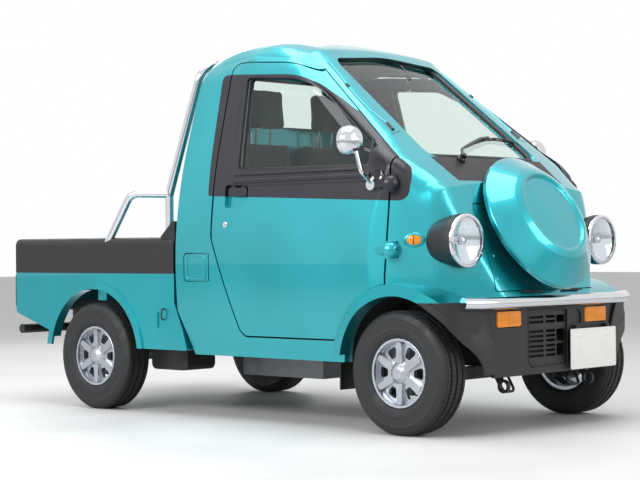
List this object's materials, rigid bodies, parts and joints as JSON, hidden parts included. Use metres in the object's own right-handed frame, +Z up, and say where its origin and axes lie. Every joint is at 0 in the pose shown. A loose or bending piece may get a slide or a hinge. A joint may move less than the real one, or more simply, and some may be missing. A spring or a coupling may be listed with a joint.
{
  "type": "kei truck",
  "caption": "Tiny two-door pickup with a rounded cab, nose-mounted dished spare wheel cover, round headlamps, roll bar and a short drop-gate bed.",
  "frame": {"origin": "on the ground, midway between the foremost and rearmost points, on the centre plane", "axes": "+X forward, +Y to the truck's left, +Z up"},
  "size_m": [2.8366, 1.52, 1.6501],
  "materials": {
    "body_paint": "metallic gloss",
    "black_plastic": "satin",
    "chrome": "polished",
    "glass": "clear",
    "lamp_glass": "fluted",
    "amber": "gloss",
    "red_lamp": "gloss",
    "tyre": "matte",
    "rubber": "matte",
    "wheel_silver": "satin silver",
    "fabric": "woven",
    "trim": "grained",
    "chassis_black": "semi-gloss",
    "cast": "raw",
    "steel": "dull"
  },
  "bodies": {
    "chassis": {"bed_tub": "body_paint", "bed_upper": "black_plastic", "bumper_tube": "chrome", "cab_back": "body_paint", "cab_body": "body_paint", "cab_floor": "chassis_black", "cab_roof": "body_paint", "cowl_panel": "black_plastic", "dashboard": "trim", "engine": "cast", "exhaust": "steel", "fender_ends": "black_plastic", "frame": "chassis_black", "front_panel": "body_paint", "front_valance": "black_plastic", "fuel_tank": "chassis_black", "headlamp_housings": "black_plastic", "headlamp_lenses": "lamp_glass", "headlamp_rims": "chrome", "mudflaps": "rubber", "radiator": "chassis_black", "rear_axle": "cast", "rear_window": "glass", "rollbar": "chrome", "seats": "fabric", "side_bands": "black_plastic", "signal_lamps": "amber", "spare_cover": "body_paint", "spare_wheel": "tyre", "steering_wheel": "trim", "suspension": "chassis_black", "tail_lamps": "red_lamp", "windshield": "glass", "wipers": "black_plastic"},
    "tailgate": {"tailgate": "body_paint", "tailgate_upper": "black_plastic"},
    "filler_lid": {"filler_lid": "body_paint"},
    "door_right": {"door_right": "body_paint", "door_frame_right": "black_plastic", "door_glass_right": "glass", "mirror_right": "chrome"},
    "knuckle_right": {"knuckle_right": "cast"},
    "road_wheel_front_right": {"tyre_front_right": "tyre", "wheel_front_right": "wheel_silver"},
    "road_wheel_rear_right": {"tyre_rear_right": "tyre", "wheel_rear_right": "wheel_silver"},
    "door_left": {"door_left": "body_paint", "door_frame_left": "black_plastic", "door_glass_left": "glass", "mirror_left": "chrome"},
    "knuckle_left": {"knuckle_left": "cast"},
    "road_wheel_front_left": {"tyre_front_left": "tyre", "wheel_front_left": "wheel_silver"},
    "road_wheel_rear_left": {"tyre_rear_left": "tyre", "wheel_rear_left": "wheel_silver"}
  },
  "joints": [
    {"name": "door_right_swing", "type": "hinge", "parent": "chassis", "child": "door_right", "pos_m": [0.98066, -0.622, 0.857], "axis": [0, 0, 1], "range_deg": [0, 65]},
    {"name": "knuckle_right_steer", "type": "hinge", "parent": "chassis", "child": "knuckle_right", "pos_m": [1.01966, -0.5, 0.245], "axis": [0, 0, 1], "range_deg": [-32, 32]},
    {"name": "wheel_front_right_spin", "type": "hinge", "parent": "knuckle_right", "child": "road_wheel_front_right", "pos_m": [1.01966, -0.5525, 0.245], "axis": [0, 1, 0], "continuous": true},
    {"name": "wheel_rear_right_spin", "type": "hinge", "parent": "chassis", "child": "road_wheel_rear_right", "pos_m": [-0.82034, -0.5525, 0.245], "axis": [0, 1, 0], "continuous": true},
    {"name": "door_left_swing", "type": "hinge", "parent": "chassis", "child": "door_left", "pos_m": [0.98066, 0.622, 0.857], "axis": [0, 0, -1], "range_deg": [0, 65]},
    {"name": "knuckle_left_steer", "type": "hinge", "parent": "chassis", "child": "knuckle_left", "pos_m": [1.01966, 0.5, 0.245], "axis": [0, 0, 1], "range_deg": [-32, 32]},
    {"name": "wheel_front_left_spin", "type": "hinge", "parent": "knuckle_left", "child": "road_wheel_front_left", "pos_m": [1.01966, 0.5525, 0.245], "axis": [0, 1, 0], "continuous": true},
    {"name": "wheel_rear_left_spin", "type": "hinge", "parent": "chassis", "child": "road_wheel_rear_left", "pos_m": [-0.82034, 0.5525, 0.245], "axis": [0, 1, 0], "continuous": true},
    {"name": "tailgate_fold", "type": "hinge", "parent": "chassis", "child": "tailgate", "pos_m": [-1.40034, 0, 0.448], "axis": [0, -1, 0], "range_deg": [0, 90]},
    {"name": "filler_lid_swing", "type": "hinge", "parent": "chassis", "child": "filler_lid", "pos_m": [-0.04134, -0.62437, 0.656], "axis": [0, 0, 1], "range_deg": [0, 100]}
  ],
  "couplings": [
    {"joint": "knuckle_left_steer", "follows": "knuckle_right_steer", "ratio": 1}
  ]
}
